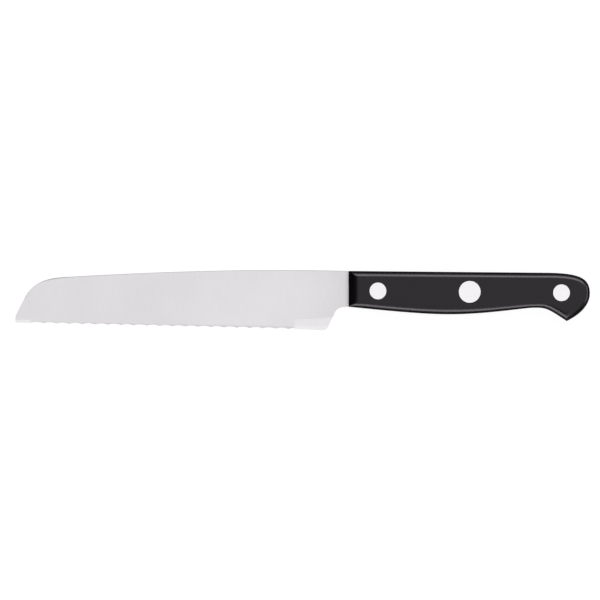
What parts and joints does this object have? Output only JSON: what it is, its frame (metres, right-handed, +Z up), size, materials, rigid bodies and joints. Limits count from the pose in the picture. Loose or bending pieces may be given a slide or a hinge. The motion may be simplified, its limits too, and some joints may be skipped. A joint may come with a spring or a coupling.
{
  "type": "serrated utility knife",
  "caption": "Serrated utility knife with a straight scalloped blade, a full tang and riveted black scales that end in a beaked butt.",
  "frame": {"origin": "centre of the bounding box in plan, on the surface that the right scale rests on", "axes": "+X from the point to the butt, +Y from the cutting edge to the spine, +Z up from the right side to the left side"},
  "size_m": [0.239, 0.0252, 0.0141],
  "materials": {
    "blade_steel": "stainless knife steel, fine satin grind",
    "handle_polymer": "black moulded polymer, ground and satin polished",
    "rivet_metal": "stainless steel, ground flush and polished"
  },
  "bodies": {
    "root": {"blade": "blade_steel", "left_scale": "handle_polymer", "right_scale": "handle_polymer", "front_rivet_pin": "rivet_metal", "front_rivet_sleeve": "rivet_metal", "middle_rivet_pin": "rivet_metal", "middle_rivet_sleeve": "rivet_metal", "rear_rivet_pin": "rivet_metal", "rear_rivet_sleeve": "rivet_metal"}
  },
  "joints": []
}
